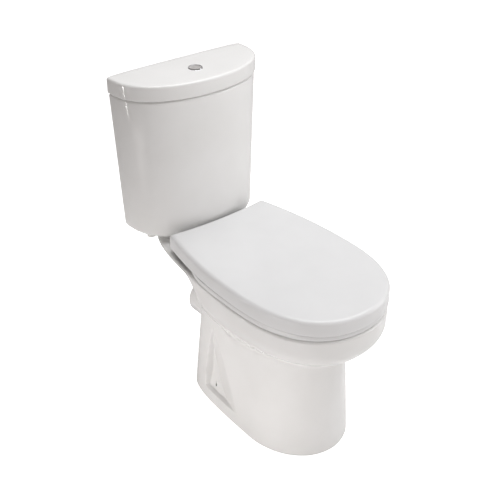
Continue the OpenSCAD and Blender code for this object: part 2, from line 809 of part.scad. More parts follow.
pan();
cistern_tank();
cistern_lid();
seat_ring();
seat_cover();
hinge_post_left();
hinge_post_right();
hinge_pins();
hinge_bolts();
hinge_washers();
hinge_wing_nuts();
ring_buffers();
cover_buffers();
button_ring();
button_disc();
button_nut();
button_spring();
push_rod();
flush_valve_base();
flush_valve_cage();
flush_lift_tube();
flush_seal();
flush_tank_washer();
flush_back_nut();
doughnut_washer();
coupling_plate();
coupling_bolts();
coupling_washers();
coupling_wing_nuts();
fill_valve_shank();
fill_washer();
fill_back_nut();
fill_riser();
fill_valve_head();
float_cup();
float_rod();
valve_lever();
lever_pin();
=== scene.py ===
import json
import math
from collections import namedtuple

import bpy
import numpy as np
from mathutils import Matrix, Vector


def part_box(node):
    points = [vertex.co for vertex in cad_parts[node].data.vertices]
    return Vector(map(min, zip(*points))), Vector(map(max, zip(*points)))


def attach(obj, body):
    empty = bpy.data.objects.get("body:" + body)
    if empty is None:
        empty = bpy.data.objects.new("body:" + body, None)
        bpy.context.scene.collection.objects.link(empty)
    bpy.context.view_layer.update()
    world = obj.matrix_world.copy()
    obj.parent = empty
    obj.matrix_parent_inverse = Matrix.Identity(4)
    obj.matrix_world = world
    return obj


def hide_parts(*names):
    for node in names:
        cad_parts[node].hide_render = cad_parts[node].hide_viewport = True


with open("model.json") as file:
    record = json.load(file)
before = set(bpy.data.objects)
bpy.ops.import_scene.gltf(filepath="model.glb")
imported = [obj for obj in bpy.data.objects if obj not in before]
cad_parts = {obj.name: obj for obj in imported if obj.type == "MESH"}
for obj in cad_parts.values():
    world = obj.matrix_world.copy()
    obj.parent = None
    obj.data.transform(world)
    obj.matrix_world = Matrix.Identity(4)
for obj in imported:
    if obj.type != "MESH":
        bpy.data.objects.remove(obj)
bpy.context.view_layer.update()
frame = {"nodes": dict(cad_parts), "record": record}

MM = 0.001


def node_box(name):
    """A CAD node's lowest and highest corners, in millimetres."""
    low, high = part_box(name)
    return np.array(low) / MM, np.array(high) / MM


# ---- Sizes, in millimetres: from the frame where it shows them, or else as in part.scad --------

pan_high = node_box("pan")[1]
tank_low, tank_high = node_box("cistern_tank")
lid_high = node_box("cistern_lid")[1]
cover_low, cover_high = node_box("seat_cover")
button_low, button_high = node_box("button_ring")
pin_low, pin_high = node_box("hinge_pins")

BACK = lid_high[1]
FRONT = cover_low[1]
WALL = 8

# Pan
PAD_H = 9
RIM_H = pan_high[2] - PAD_H
DECK_T = 14
OUTLET_R = 51
OUTLET_Z = 180
OUTLET_END = BACK - 94
SPIGOT_START = 153
COLLAR_R, COLLAR_END = OUTLET_R + 5, 163
TRAP_R = 27
TRAP_Y, TRAP_Z = 64, 77
TRAP_WALL_Y = 61
TRAP_BEND = (OUTLET_Z - TRAP_Z) / 2
TRAP_END = TRAP_Y + 2 * TRAP_BEND
ACCESS_LOW, ACCESS_TOP = (-86, 172, 296), RIM_H - DECK_T + 0.5

# Cistern
TANK_Z = tank_low[2]
SHOULDER_Z = 756
NECK_Z = tank_high[2]
TOP_Z = lid_high[2]
LID_Z = TOP_Z - 37
LID_HALF = lid_high[0]
LID_OVER = 3.5
NECK_IN = LID_OVER + 11
VALVE_Y = (button_low[1] + button_high[1]) / 2
FILL_X, FILL_Y = 124, BACK - 50.5

# Seat and its hinge line
COVER_TOP, COVER_FOOT = cover_high[2], cover_low[2]
COVER_HALF = cover_high[0]
COVER_REAR = cover_high[1]
RING_Z, RING_TOP = RIM_H + 1.5, COVER_TOP - 23
FLANGE_TOP = COVER_FOOT - 0.5
HINGE_X = 77.5
HINGE_Y = (pin_low[1] + pin_high[1]) / 2
HINGE_Z = (pin_low[2] + pin_high[2]) / 2

# An outline is four quarters of the curve |x|^p + |y|^q = 1. It holds its half width, the y of
# its widest line, of its front and of its rear, then p and q of the front and the rear quarters.
Outline = namedtuple("Outline", "half widest front rear front_p front_q rear_p rear_q")

RIM_WIDEST, RIM_NOSE = -80, (2.15, 2.7)
TANK_WIDEST, TANK_BOW = BACK - 14.5, (2, 2.7)

FOOT = Outline(128, -104, FRONT + 75.5, 160, 2, 2, 8, 3)
WAIST = Outline(103, -100, FRONT + 83.5, 160, 2, 2, 5, 4.2)
RIM = Outline(pan_high[0], RIM_WIDEST, FRONT + 1.5, 313, *RIM_NOSE, 4.5, 1.6)
OPENING = Outline(128, -90, FRONT + 44, 88, 2.2, 2.4, 2.2, 2.2)
PAD = Outline(110, 250, 225, 292, 4, 4, 3, 3)
LID = Outline(LID_HALF, TANK_WIDEST, BACK - 158, BACK, *TANK_BOW, 3.5, 3.5)
TANK_TOP = Outline(LID_HALF - LID_OVER, TANK_WIDEST, BACK - 156.5, BACK - 1.5, *TANK_BOW, 5, 5)
TANK_FOOT = Outline(170, TANK_WIDEST, BACK - 157.5, BACK - 1.5, *TANK_BOW, 5, 5)
RING_OUT = Outline(COVER_HALF - 7.5, RIM_WIDEST, FRONT + 6, 127, *RIM_NOSE, 3.6, 3.6)
RING_FLANGE = Outline(COVER_HALF - 1, RIM_WIDEST, FRONT + 3, 131, *RIM_NOSE, 3.6, 3.6)
RING_IN = Outline(112, -105, FRONT + 70, 52, 2.1, 2.3, 2.1, 2.1)

# The bowl from its lip to the sump: height, half width, y of the widest line, of the front and
# of the rear, then the power of the rear quarters. Its front quarters share one pair of powers.
BOWL_FRONT = (2.1, 2.2)
BOWL = (
    (343, 140, -88, FRONT + 31, 98, 2.3),
    (300, 124, -80, -272, 94, 2.5),
    (262, 90, -66, -222, 86, 3),
    (215, 68, -44, -160, 72, 3.5),
    (160, 52, -14, -90, 62, 4),
    (112, 45, 6, -46, 58, 5),
    (50, 42, 8, -34, 57, 5),
)


# ---- Outlines ---------------------------------------------------------------------------------


def lerp(a, b, f):
    """The value a fraction f of the way from a to b."""
    return a * (1 - f) + b * f


def smooth(v):
    """An S curve that rises from 0 at v = 0 to 1 at v = 1."""
    c = np.clip(v, 0, 1)
    return c * c * (3 - 2 * c)


def unit_curve(phi, p, q):
    """Points in directions phi on the curve |x|^p + |y|^q = 1, their radii found by halving."""
    c, s = np.abs(np.cos(phi)), np.abs(np.sin(phi))
    low, high = np.full(phi.shape, 0.5), np.full(phi.shape, 1.6)
    for _ in range(40):
        mid = (low + high) / 2
        outside = (mid * c) ** p + (mid * s) ** q > 1
        high = np.where(outside, mid, high)
        low = np.where(outside, low, mid)
    return low * np.cos(phi), low * np.sin(phi)


def outline(o, phi):
    """Outline points in directions phi; o may hold one value or one per direction."""
    rear = np.sin(phi) > 0
    p = np.where(rear, o.rear_p, o.front_p)
    q = np.where(rear, o.rear_q, o.front_q)
    x, y = unit_curve(phi, p, q)
    reach = np.where(rear, o.rear - o.widest, o.widest - o.front)
    return np.stack([o.half * x, o.widest + reach * y], axis=-1)


def inset(o, d):
    """The outline drawn in by d all round, with its widest line kept clear of the rear."""
    half, front, rear = o.half - d, o.front + d, o.rear - d
    return o._replace(half=half, widest=min(o.widest, rear - 6), front=front, rear=rear)


def blend_outlines(a, b, f):
    """The outline a fraction f of the way from a to b."""
    return Outline(*(lerp(x, y, f) for x, y in zip(a, b)))


def at_height(points, z):
    """Points in the plane, lifted to the height z."""
    return np.column_stack([points, np.full(len(points), z)])


def flat(o, phi, z, d=0):
    """A level row of points on the outline drawn in by d."""
    return at_height(outline(inset(o, d), phi), z)


def section(o, phi, path):
    """Level rows along (inset, height) points; o is an outline or gives one for a height."""
    return [flat(o(z) if callable(o) else o, phi, z, d) for d, z in path]


def arc(start_inset, start_z, end_inset, end_z, n, turn=1):
    """(inset, height) points on a quarter ellipse; turn 1 leaves the start upright."""
    out = []
    for k in range(1, n + 1):
        a = math.pi / 2 * k / n
        if turn > 0:
            f, g = 1 - math.cos(a), math.sin(a)
        else:
            f, g = math.sin(a), 1 - math.cos(a)
        out.append((lerp(start_inset, end_inset, f), lerp(start_z, end_z, g)))
    return out


def directions(n, dense=0, centre=30, spread=22):
    """n directions from the front, anticlockwise; dense adds more of them around the rear sides."""
    fine = np.linspace(-90, 270, 7201)
    weight = np.ones(fine.shape)
    for c in (centre, 180 - centre):
        weight += dense * np.exp(-(((fine - c) / spread) ** 2))
    total = np.concatenate([[0], np.cumsum((weight[1:] + weight[:-1]) / 2)])
    return np.radians(np.interp(np.arange(n) / n * total[-1], total, fine))


def full_turn(n):
    """n equal steps round a circle, in radians."""
    return np.linspace(0, 2 * math.pi, n, endpoint=False)


# ---- Mesh helpers -----------------------------------------------------------------------------


def add_mesh(name, verts, faces):
    """A new smooth-shaded object from points in millimetres."""
    mesh = bpy.data.meshes.new(name)
    mesh.from_pydata((np.asarray(verts) * MM).tolist(), [], faces)
    mesh.validate()
    mesh.shade_smooth()
    obj = bpy.data.objects.new(name, mesh)
    bpy.context.scene.collection.objects.link(obj)
    return obj


def loft(name, rings, closed=False):
    """Skin over rings of equal length; the ends are capped unless the skin closes on itself."""
    rings = [np.asarray(r) for r in rings]
    m, n = len(rings), len(rings[0])
    verts = np.concatenate(rings)
    faces = []
    for i in range(m if closed else m - 1):
        a, b = i * n, (i + 1) % m * n
        faces += [(a + j, a + (j + 1) % n, b + (j + 1) % n, b + j) for j in range(n)]
    if not closed:
        faces.append(tuple(range(n - 1, -1, -1)))
        faces.append(tuple(range((m - 1) * n, m * n)))
    return add_mesh(name, verts, faces)


def revolve(name, profile, centre=(0, 0, 0), axis="z", n=96):
    """Closed solid of revolution from (radius, height) points that start and end on the axis."""
    a = full_turn(n)
    rings = []
    for r, h in profile:
        c, s = max(r, 0.02) * np.cos(a), max(r, 0.02) * np.sin(a)
        if axis == "z":
            ring = np.column_stack([c, s, np.full(n, h)])
        else:
            ring = np.column_stack([c, np.full(n, h), -s])
        rings.append(ring + np.array(centre))
    return loft(name, rings)


def block(name, low, high):
    """A plain box from its lowest to its highest corner."""
    (x0, y0, z0), (x1, y1, z1) = low, high
    verts = [(x, y, z) for z in (z0, z1) for y in (y0, y1) for x in (x0, x1)]
    faces = [(0, 2, 3, 1), (4, 5, 7, 6), (0, 1, 5, 4), (2, 6, 7, 3), (0, 4, 6, 2), (1, 3, 7, 5)]
    return add_mesh(name, verts, faces)


def drill(x, y, z, r, length, axis="z", n=64):
    """A cylinder that starts at a point and runs along an axis, to cut or to join."""
    return revolve("drill", [(0, 0), (r, 0), (r, length), (0, length)], (x, y, z), axis, n)


def both_sides(make):
    """What make gives for the right side (1) and for the left side (-1)."""
    return [make(1), make(-1)]


def apply_modifiers(obj):
    """Replaces an object's mesh by what its modifiers make of it."""
    graph = bpy.context.evaluated_depsgraph_get()
    mesh = bpy.data.meshes.new_from_object(obj.evaluated_get(graph))
    old = obj.data
    obj.modifiers.clear()
    obj.data = mesh
    mesh.name = old.name
    bpy.data.meshes.remove(old)


def cut(obj, tools, operation="DIFFERENCE", sharp=40):
    """Cuts or joins closed tools into obj, one after another, and removes them."""
    for tool in tools:
        mod = obj.modifiers.new("cut", "BOOLEAN")
        mod.operation = operation
        mod.object = tool
        mod.solver = "MANIFOLD"
    apply_modifiers(obj)
    for tool in tools:
        mesh = tool.data
        bpy.data.objects.remove(tool)
        bpy.data.meshes.remove(mesh)
    obj.data.shade_smooth()
    obj.data.set_sharp_from_angle(angle=math.radians(sharp))
    return obj


# ---- Pan --------------------------------------------------------------------------------------

# The crease between pedestal and bowl: its height at the sides, how far it rises to the front
# and to the rear, the y that both rises start from, and how far along y each of them runs
CREASE_SIDE = 213
CREASE_FRONT_RISE, CREASE_REAR_RISE = 42, 24
CREASE_Y = -20
CREASE_FRONT_RUN, CREASE_REAR_RUN = 199, 100

# How the bowl opens: the fraction of its height at which it is fully open and the power of the
# curve, for the sides and how much each changes at the nose, then the power for the rear
OPEN_AT, OPEN_AT_NOSE = 0.74, 0.06
OPEN_POWER, OPEN_POWER_NOSE = 2, 0.7
OPEN_POWER_REAR = 3
REAR_BLEND = 0.45

# The triangular recess in each side of the pedestal: the heights of its sill and its top, how
# the sill is rounded, its front and rear edges at the sill and the apex where they meet, how
# the edges bend, how its floor slopes and its rear wall leans, and how both are rounded
RECESS_FLOOR, RECESS_TOP = 34, 220
RECESS_SILL_BELOW, RECESS_SILL_H = 3, 5
RECESS_FRONT, RECESS_REAR, RECESS_APEX = -50, 85, 68
RECESS_FRONT_POWER, RECESS_REAR_POWER = 1.2, 2.5
RECESS_SLOPE, RECESS_LEAN = 0.226, 0.46
RECESS_ROUND, RECESS_EDGE = 3, 2.4

FOOT_ROUND_IN, FOOT_ROUND_H = 1.5, 3
FOOT_THICKENING = 12
RIM_ROUND_IN, RIM_ROUND_H = 7, 6
LIP_ROUND = 6
PAD_ROUND = 3
SPIGOT_ROUND = 2

FLOOR_HOLE, FLOOR_HOLE_R = (104, 52), 3.5
HINGE_HOLE_R = 7
COUPLING_X, COUPLING_HOLE_R = 72, 5.5
DECK_HOLE_R = 42

# Heights of the outer rows, closer together at the recess's sill and below the crease, then
# fractions of the bowl's height, closer together above the crease, and the smoothing over both
PEDESTAL_LEVELS = np.concatenate(
    [[1, 3, 6, 12, 20], np.arange(26, 42), np.arange(43, 193, 2.5), np.arange(194, 213)]
)
BOWL_FRACTIONS = np.concatenate([np.arange(0, 0.12, 0.006), np.linspace(0.12, 0.965, 74)])
SOFT_FROM_ROW, SOFT_PASSES = 14, 60


def crease(phi):
    """Height of the crease in directions phi."""
    y = outline(WAIST, phi)[:, 1]
    front_rise = CREASE_FRONT_RISE * smooth((CREASE_Y - y) / CREASE_FRONT_RUN)
    rear_rise = CREASE_REAR_RISE * smooth((y - CREASE_Y) / CREASE_REAR_RUN)
    return CREASE_SIDE + front_rise + rear_rise


def flare(phi, s):
    """How far the wall has opened from waist to rim, at the fraction s of the bowl's height."""
    rear = np.sin(phi) > 0
    p = np.where(rear, WAIST.rear_p, WAIST.front_p)
    q = np.where(rear, WAIST.rear_q, WAIST.front_q)
    unit_y = unit_curve(phi, p, q)[1]
    turn = np.sign(unit_y) * np.abs(unit_y) ** (q / 2)
    nose = np.minimum(0, turn)
    reached = np.minimum(1, s / (OPEN_AT + OPEN_AT_NOSE * nose))
    swell = np.sin(math.pi / 2 * reached) ** (OPEN_POWER + OPEN_POWER_NOSE * nose)
    return lerp(swell, s**OPEN_POWER_REAR, smooth(turn / REAR_BLEND))


def pedestal_row(phi, f, d=0):
    """A row of the pedestal at the fraction f of the way from the floor to the crease."""
    xy = outline(inset(blend_outlines(FOOT, WAIST, f), d), phi)
    return np.column_stack([xy, crease(phi) * f])


def bowl_row(phi, s, d=0):
    """A row of the bowl's outside at the fraction s of the way from the crease to the rim."""
    o = blend_outlines(WAIST, RIM, flare(phi, s))
    o = o._replace(half=o.half - d, front=o.front + d, rear=o.rear - d)
    return np.column_stack([outline(o, phi), lerp(crease(phi), RIM_H, s)])


def soft_min(a, b, k):
    """The smaller of a and b, rounded over where they are within k of each other."""
    h = np.clip(0.5 + 0.5 * (b - a) / k, 0, 1)
    return lerp(b, a, h) - k * h * (1 - h)


def press_recess(row):
    """Presses the triangular side recess into a row of the pedestal's wall."""
    x, y, z = row.T
    rise = np.clip((z - RECESS_FLOOR) / (RECESS_TOP - RECESS_FLOOR), 0, 1)
    front_edge = lerp(RECESS_FRONT, RECESS_APEX, rise**RECESS_FRONT_POWER)
    rear_edge = lerp(RECESS_REAR, RECESS_APEX, rise**RECESS_REAR_POWER)
    ramp = (y - front_edge) * RECESS_SLOPE
    wall = (rear_edge - y) / RECESS_LEAN
    depth = soft_min(ramp, wall, RECESS_ROUND)
    depth = -soft_min(-depth, np.zeros(depth.shape), RECESS_EDGE) - RECESS_EDGE / 4
    sill = smooth((z - RECESS_FLOOR + RECESS_SILL_BELOW) / RECESS_SILL_H)
    depth = np.maximum(depth, 0) * sill * (z < RECESS_TOP + 4)
    return np.column_stack([x - np.sign(x) * depth, y, z])


def catmull(values, k):
    """Value of the smooth curve through values at the fractional place k."""
    i = min(int(k), len(values) - 2)
    f = k - i
    p = [values[max(0, i - 1)], values[i], values[i + 1], values[min(len(values) - 1, i + 2)]]
    return 0.5 * (
        2 * p[1]
        + (p[2] - p[0]) * f
        + (2 * p[0] - 5 * p[1] + 4 * p[2] - p[3]) * f**2
        + (3 * p[1] - p[0] - 3 * p[2] + p[3]) * f**3
    )


def bowl_rows(phi, d):
    """Bowl surface from its lip down to the sump, as a smooth run through the levels."""
    levels = np.array(BOWL)
    rows = []
    for k in np.linspace(0, len(BOWL) - 1, 61):
        z, half, widest, front, rear, power = [catmull(column, k) for column in levels.T]
        o = inset(Outline(half, widest, front, rear, *BOWL_FRONT, power, power), d)
        rows.append(at_height(outline(o, phi), z + min(0, d)))
    return rows


def soften_rows(rows, first, passes):
    """Rounds the crease: relaxes each column of the wall above its first rows."""
    grid = np.array(rows)
    for _ in range(passes):
        grid[first:-1] += 0.5 * ((grid[first - 1 : -2] + grid[first + 1 :]) / 2 - grid[first:-1])
    return list(grid)


def pan_skin():
    """The casting's closed skin: the hollow underneath, the outer wall, the rim, then the bowl."""
    phi = directions(400, dense=2.2)
    hollow = bowl_rows(phi, -WALL)[::-6]
    hollow.append(flat(OPENING, phi, RIM_H - DECK_T, -WALL - 4))
    hollow += [bowl_row(phi, s, WALL) for s in np.linspace(0.9, 0.1, 8)]
    for f in np.linspace(1, 0, 4)[:-1]:
        hollow.append(pedestal_row(phi, f, WALL + FOOT_THICKENING * (1 - f)))
    hollow += [pedestal_row(phi, 0, WALL), pedestal_row(phi, 0, 2)]

    wall = []
    for z in PEDESTAL_LEVELS:
        rounding = FOOT_ROUND_IN * max(0, 1 - z / FOOT_ROUND_H)
        wall.append(pedestal_row(phi, z / CREASE_SIDE, rounding))
    wall += [bowl_row(phi, s) for s in BOWL_FRACTIONS]
    wall = [press_recess(row) for row in soften_rows(wall, SOFT_FROM_ROW, SOFT_PASSES)]

    rim = arc(0, RIM_H - RIM_ROUND_H, RIM_ROUND_IN, RIM_H, 7)
    lip = [(-LIP_ROUND - 1, RIM_H)]
    lip += arc(-LIP_ROUND, RIM_H, 0, RIM_H - LIP_ROUND, 6, turn=-1)
    lip += [(0, RIM_H - 20), (0, RIM_H - 40), (0, RIM_H - 43), (-2, RIM_H - 45)]
    top = section(RIM, phi, rim) + section(OPENING, phi, lip)
    return loft("pan_shell", hollow + wall + top + bowl_rows(phi, 0))


def pad_skin():
    """The raised pad on the deck that the cistern stands on."""
    edge_z = RIM_H + PAD_H - PAD_ROUND
    path = [(0, RIM_H - 5), (0, edge_z)] + arc(0, edge_z, PAD_ROUND, RIM_H + PAD_H, 4)
    return loft("pad", section(PAD, directions(160), path))


def trap_path(start, end):
    """(y, z, direction) steps of the trap: an S of two equal quarter bends."""
    path = [(start, TRAP_Z, 0)]
    for a in np.linspace(0, math.pi / 2, 13):
        run, rise = TRAP_BEND * math.sin(a), TRAP_BEND * (1 - math.cos(a))
        path.append((TRAP_Y + run, TRAP_Z + rise, a))
    for a in np.linspace(math.pi / 2, 0, 13)[1:]:
        run, rise = TRAP_BEND * math.sin(a), TRAP_BEND * (1 - math.cos(a))
        path.append((TRAP_END - run, OUTLET_Z - rise, a))
    return path + [(end, OUTLET_Z, 0)]


def trap_tube(start, end, r, n=48):
    """A round bar that follows the trap, to join as its wall or to cut as its bore."""
    a = full_turn(n)
    rings = []
    for y, z, way in trap_path(start, end):
        side, up = -r * np.cos(a), r * np.sin(a)
        rings.append(np.column_stack([side, y - up * math.sin(way), z + up * math.cos(way)]))
    return loft("trap", rings)


def spigot():
    """The solid outlet spigot, with its end rounded."""
    length = OUTLET_END - SPIGOT_START
    end = arc(0, length - SPIGOT_ROUND, SPIGOT_ROUND, length, 4)
    profile = [(0, 0), (OUTLET_R, 0)] + [(OUTLET_R - d, z) for d, z in end] + [(0, length)]
    return revolve("spigot", profile, (0, SPIGOT_START, OUTLET_Z), "y")


def make_pan():
    """The casting: its skin joined to trap, pad and spigot, then bored."""
    pan = pan_skin()
    pan.name = pan.data.name = "pan_glazed"
    outlet = spigot()
    collar = drill(0, SPIGOT_START, OUTLET_Z, COLLAR_R, COLLAR_END - SPIGOT_START, "y")
    trap_wall = trap_tube(TRAP_WALL_Y, TRAP_END + 1, TRAP_R + WALL)
    cut(pan, [trap_wall, pad_skin(), collar, outlet], "UNION")

    below_deck = RIM_H - 2 * DECK_T
    holes = [
        trap_tube(TRAP_Y - 25, TRAP_END + 20, TRAP_R),
        drill(0, SPIGOT_START + WALL, OUTLET_Z, OUTLET_R - WALL, OUTLET_END, "y"),
        block("access", ACCESS_LOW, (-ACCESS_LOW[0], BACK, ACCESS_TOP)),
        drill(0, VALVE_Y, below_deck, DECK_HOLE_R, 4 * DECK_T),
    ]
    for x, y, z, r in (
        (*FLOOR_HOLE, -1, FLOOR_HOLE_R),
        (HINGE_X, HINGE_Y, below_deck, HINGE_HOLE_R),
        (COUPLING_X, VALVE_Y, below_deck, COUPLING_HOLE_R),
    ):
        holes += both_sides(lambda side: drill(side * x, y, z, r, 60, n=32))
    return cut(pan, holes, sharp=60)


# ---- Cistern ----------------------------------------------------------------------------------

TANK_FLOOR = 12
TANK_ROUND = 12
SHOULDER_ROUND = 7
FLUSH_HOLE_R = 31
INLET_HOLE_R = 11.5
WALL_HOLE_X, WALL_HOLE_Z, WALL_HOLE_R = 115, 700, 4

LID_T = 11
LID_BORDER = 26
LID_ROUND = 6
LID_FOOT_ROUND = 3
LID_HOLE_R = 16
LID_LUG_X, LID_LUG_HALF = 131, 3


def tank_outline(z):
    """Outline of the tapering tank at the height z."""
    f = min(1, (z - TANK_Z) / (SHOULDER_Z - TANK_Z))
    return blend_outlines(TANK_FOOT, TANK_TOP, f)


def make_tank():
    """The cistern body: up its outside, over the neck and down its inside to the floor."""
    phi = directions(280)
    body = [(TANK_ROUND, TANK_Z)] + arc(TANK_ROUND, TANK_Z, 0, TANK_Z + TANK_ROUND, 8, turn=-1)
    body += [(0, z) for z in np.linspace(TANK_Z + 40, SHOULDER_Z - SHOULDER_ROUND, 12)]
    body += arc(0, SHOULDER_Z - SHOULDER_ROUND, SHOULDER_ROUND, SHOULDER_Z, 6)
    neck = [(NECK_IN, SHOULDER_Z + 0.5), (NECK_IN, NECK_Z - 1), (NECK_IN + 1, NECK_Z)]
    neck += [(NECK_IN + WALL - 1, NECK_Z), (NECK_IN + WALL, NECK_Z - 1)]
    neck += [(NECK_IN + WALL, SHOULDER_Z - 3)]
    hollow = [(WALL + 1, SHOULDER_Z - 12), (WALL + 2, TANK_Z + 2 * TANK_FLOOR)]
    hollow += [(WALL + 14, TANK_Z + TANK_FLOOR)]
    rows = section(tank_outline, phi, body) + section(LID, phi, neck)
    tank = loft("cistern_body", rows + section(tank_outline, phi, hollow))
    holes = [
        drill(0, VALVE_Y, TANK_Z - 1, FLUSH_HOLE_R, 40),
        drill(-FILL_X, FILL_Y, TANK_Z - 1, INLET_HOLE_R, 40),
    ]
    holes += both_sides(
        lambda side: drill(side * WALL_HOLE_X, BACK - 40, WALL_HOLE_Z, WALL_HOLE_R, 60, "y", 32)
    )
    return cut(tank, holes)


def lid_lug(side):
    """One of the lugs under the lid that keep it on the tank."""
    low = (side * LID_LUG_X - LID_LUG_HALF, BACK - 80, LID_Z - 4)
    return block("lug", low, (side * LID_LUG_X + LID_LUG_HALF, BACK - 30, TOP_Z - 9))


def make_lid():
    """The cistern lid: from the middle of its underside outwards, then up and over the top."""
    path = [(LID_BORDER + 2, TOP_Z - LID_T), (LID_BORDER, NECK_Z + 0.3)]
    path += [(LID_OVER + 7, NECK_Z + 0.3), (LID_OVER + 6, LID_Z), (LID_FOOT_ROUND, LID_Z)]
    path += arc(LID_FOOT_ROUND, LID_Z, 0, LID_Z + LID_FOOT_ROUND, 4, turn=-1)
    path += [(0, LID_Z + 12), (0, TOP_Z - 16), (0, TOP_Z - LID_ROUND)]
    path += arc(0, TOP_Z - LID_ROUND, LID_ROUND, TOP_Z - 0.5, 7)
    path += [(20, TOP_Z - 0.2), (45, TOP_Z)]
    lid = loft("cistern_cap", section(LID, directions(280), path))
    cut(lid, both_sides(lid_lug), "UNION")
    return cut(lid, [drill(0, VALVE_Y, LID_Z, LID_HOLE_R, 74)])


# ---- Seat -------------------------------------------------------------------------------------

COVER_T = 4
COVER_EDGE = 10
COVER_FOOT_ROUND = 3
COVER_BACK = 168
CORNER_X, CORNER_Y = 140, COVER_REAR
CORNER_TURN = 54
NOTCH_X, NOTCH_FRONT, NOTCH_BACK = 108, HINGE_Y - 5, HINGE_Y + 35

FLANGE_ROUND = 1.5
RING_FOOT_ROUND = 3
RING_ROUND_IN, RING_ROUND_H = 9, 8
RING_SLOPE_IN, RING_SLOPE_H = 15, 14

# A lug starts POST_CLEAR to either side of the middle of a hinge post
PIN_R = 4.05
KNUCKLE_R = 8
LUG_W = 12
POST_CLEAR = 12
BORE_X = HINGE_X + POST_CLEAR + LUG_W + 2


def cover_row(z, d):
    """Cover outline: the front follows the rim, the rear corners are square, the back is hollow."""
    t = np.degrees(directions(300))
    t = np.where(t > 180, t - 360, t)
    half, corner_x, corner_y = COVER_HALF - d, CORNER_X - d, CORNER_Y - d
    front = outline(Outline(half, RIM_WIDEST, FRONT + d, 0, *RIM_NOSE, 2, 2), np.radians(t))
    turn = np.where(t > 90, 180 - t, t)
    side = np.where(t > 90, -1, 1)
    f = turn / CORNER_TURN
    flank_x = side * (half - (half - corner_x) * f * f)
    flank = np.stack([flank_x, lerp(RIM_WIDEST, corner_y, f)], -1)
    g = (90 - turn) / (90 - CORNER_TURN)
    back = np.stack([side * corner_x * g, lerp(COVER_BACK - d, corner_y, g * g)], -1)
    xy = np.where((t <= 0)[:, None], front, np.where((turn < CORNER_TURN)[:, None], flank, back))
    return at_height(xy, z)


def hinge_cylinder(name, r, x0, x1):
    """A cylinder on the hinge line."""
    a = full_turn(48)
    y, z = HINGE_Y + r * np.cos(a), HINGE_Z + r * np.sin(a)
    return loft(name, [np.column_stack([np.full(len(a), x), y, z]) for x in (x0, x1)])


def lug(x, y0, z0, y1, z1):
    """A hinge lug: a round knuckle on the pin line, joined to a block."""
    knuckle = hinge_cylinder("knuckle", KNUCKLE_R, x, x + LUG_W)
    return [knuckle, block("lug", (x, y0, z0), (x + LUG_W, y1, z1))]


def bore():
    """The bar that cuts the pin's hole through all the lugs."""
    return hinge_cylinder("bore", PIN_R, -BORE_X, BORE_X)


def make_cover():
    """The seat cover: from its underside down inside the skirt, then up and over the top."""
    edge_z = COVER_TOP - COVER_EDGE
    path = [(9, COVER_TOP - COVER_T), (4, edge_z)]
    path += [(3, COVER_FOOT + 1), (2.4, COVER_FOOT), (1.4, COVER_FOOT)]
    path += arc(1.4, COVER_FOOT, 0, COVER_FOOT + COVER_FOOT_ROUND, 4, turn=-1)
    path += [(0.2, COVER_FOOT + 12), (0.4, edge_z)]
    path += arc(0.4, edge_z, COVER_EDGE, COVER_TOP - 0.7, 10)
    path += [(26, COVER_TOP - 0.3), (60, COVER_TOP)]
    cover = loft("seat_lid", [cover_row(z, d) for d, z in path])
    notch_low = (-NOTCH_X, NOTCH_FRONT, COVER_FOOT - 1)
    cut(cover, [block("notch", notch_low, (NOTCH_X, NOTCH_BACK, COVER_TOP - COVER_T))])
    lugs = []
    for x in (HINGE_X + POST_CLEAR, -HINGE_X - POST_CLEAR - LUG_W):
        lugs += lug(x, HINGE_Y - KNUCKLE_R, HINGE_Z, HINGE_Y + KNUCKLE_R, COVER_TOP - 2)
    cut(cover, lugs, "UNION")
    return cut(cover, [bore()])


def make_ring():
    """The seat ring: its flange, its outside and the slope inside, closed underneath."""
    phi = directions(280)
    flange = [(RING_FOOT_ROUND, RING_Z)]
    flange += arc(RING_FOOT_ROUND, RING_Z, 0, RING_Z + RING_FOOT_ROUND, 4, turn=-1)
    flange += arc(0, FLANGE_TOP - FLANGE_ROUND, FLANGE_ROUND, FLANGE_TOP, 4)
    outside = [(0, FLANGE_TOP), (0.2, RING_TOP - RING_ROUND_H)]
    outside += arc(0.2, RING_TOP - RING_ROUND_H, RING_ROUND_IN, RING_TOP, 8)
    inside = [(-RING_SLOPE_IN, RING_TOP)]
    inside += arc(-RING_SLOPE_IN, RING_TOP, 0, RING_TOP - RING_SLOPE_H, 10, turn=-1)
    inside += [(-3.6, RING_Z + 2), (-6, RING_Z)]
    rows = section(RING_FLANGE, phi, flange) + section(RING_OUT, phi, outside)
    ring = loft("seat", rows + section(RING_IN, phi, inside), closed=True)
    lugs = []
    for x in (HINGE_X - POST_CLEAR - LUG_W, POST_CLEAR - HINGE_X):
        lugs += lug(x, RING_OUT.rear - 8, RING_TOP - 12, HINGE_Y, HINGE_Z + KNUCKLE_R)
    cut(ring, lugs, "UNION")
    return cut(ring, [bore()])


# ---- Materials --------------------------------------------------------------------------------


